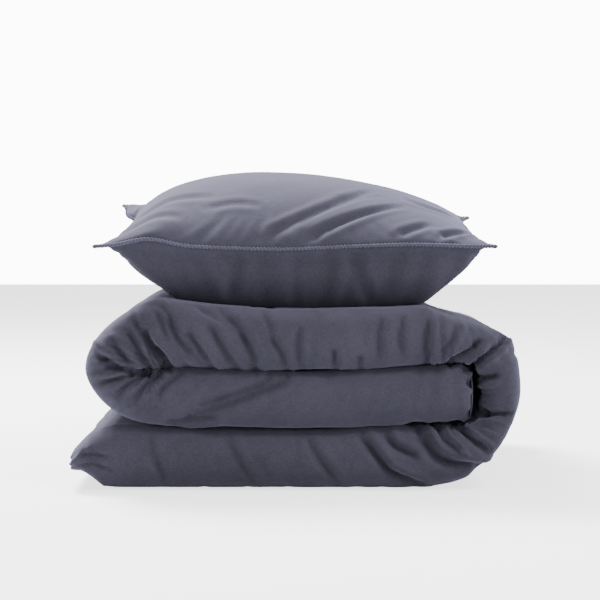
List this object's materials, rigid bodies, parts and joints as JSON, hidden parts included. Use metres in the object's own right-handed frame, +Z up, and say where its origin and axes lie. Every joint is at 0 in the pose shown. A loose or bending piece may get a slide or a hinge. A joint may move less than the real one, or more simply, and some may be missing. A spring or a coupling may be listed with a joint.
{
  "type": "folded duvet with pillow",
  "caption": "Duvet in its zipped cover, folded in thirds both ways into a soft stack, with a filled pillow in its whip-stitched case lying on top.",
  "frame": {"origin": "middle of the whole object's footprint, on the surface that it lies on", "axes": "+X along the folded stack, from the free end of its bottom layer towards the large fold; +Y from its rolled front towards its back, where the plies end; +Z up"},
  "size_m": [0.735, 0.56, 0.5128],
  "materials": {
    "washed_cotton": "washed plain weave, matt",
    "white_ticking": "close plain weave, matt",
    "polyester_fibre": "loose hollow fibre",
    "pale_thread": "heavy cotton thread, matt",
    "zip_tape_weave": "woven tape",
    "zip_nylon": "moulded nylon coil",
    "zip_metal": "plated zinc"
  },
  "bodies": {
    "duvet": {"duvet_cover_face": "washed_cotton", "duvet_cover_back": "washed_cotton", "duvet_casing_face": "white_ticking", "duvet_casing_back": "white_ticking", "duvet_filling": "polyester_fibre", "cover_corner_tie_1": "washed_cotton", "cover_corner_tie_2": "washed_cotton", "cover_corner_tie_3": "washed_cotton", "cover_corner_tie_4": "washed_cotton", "duvet_corner_loop_1": "white_ticking", "duvet_corner_loop_2": "white_ticking", "duvet_corner_loop_3": "white_ticking", "duvet_corner_loop_4": "white_ticking", "zip_tape_face": "zip_tape_weave", "zip_tape_back": "zip_tape_weave", "zip_teeth_face": "zip_nylon", "zip_teeth_back": "zip_nylon", "zip_stop_shut_end": "zip_metal", "zip_stop_open_end": "zip_metal"},
    "zip_slider": {"zip_slider": "zip_metal"},
    "zip_pull": {"zip_pull_tab": "zip_metal"},
    "pillow": {"pillowcase_top": "washed_cotton", "pillowcase_base": "washed_cotton", "pillowcase_tuck_flap": "washed_cotton", "pillowcase_edge_stitch": "pale_thread", "pillow_casing_top": "white_ticking", "pillow_casing_base": "white_ticking", "pillow_filling": "polyester_fibre"}
  },
  "joints": [
    {"name": "pillow_lift", "type": "slide", "parent": "duvet", "child": "pillow", "axis": [0, 0, 1], "range_m": [0, 0.3]},
    {"name": "zip_slide", "type": "slide", "parent": "duvet", "child": "zip_slider", "axis": [0, -1, 0], "range_m": [0, 0.394]},
    {"name": "zip_pull_swing", "type": "hinge", "parent": "zip_slider", "child": "zip_pull", "pos_m": [0.2905, 0.1731, 0.1202], "axis": [0, 0, -1], "range_deg": [0, 180]}
  ]
}
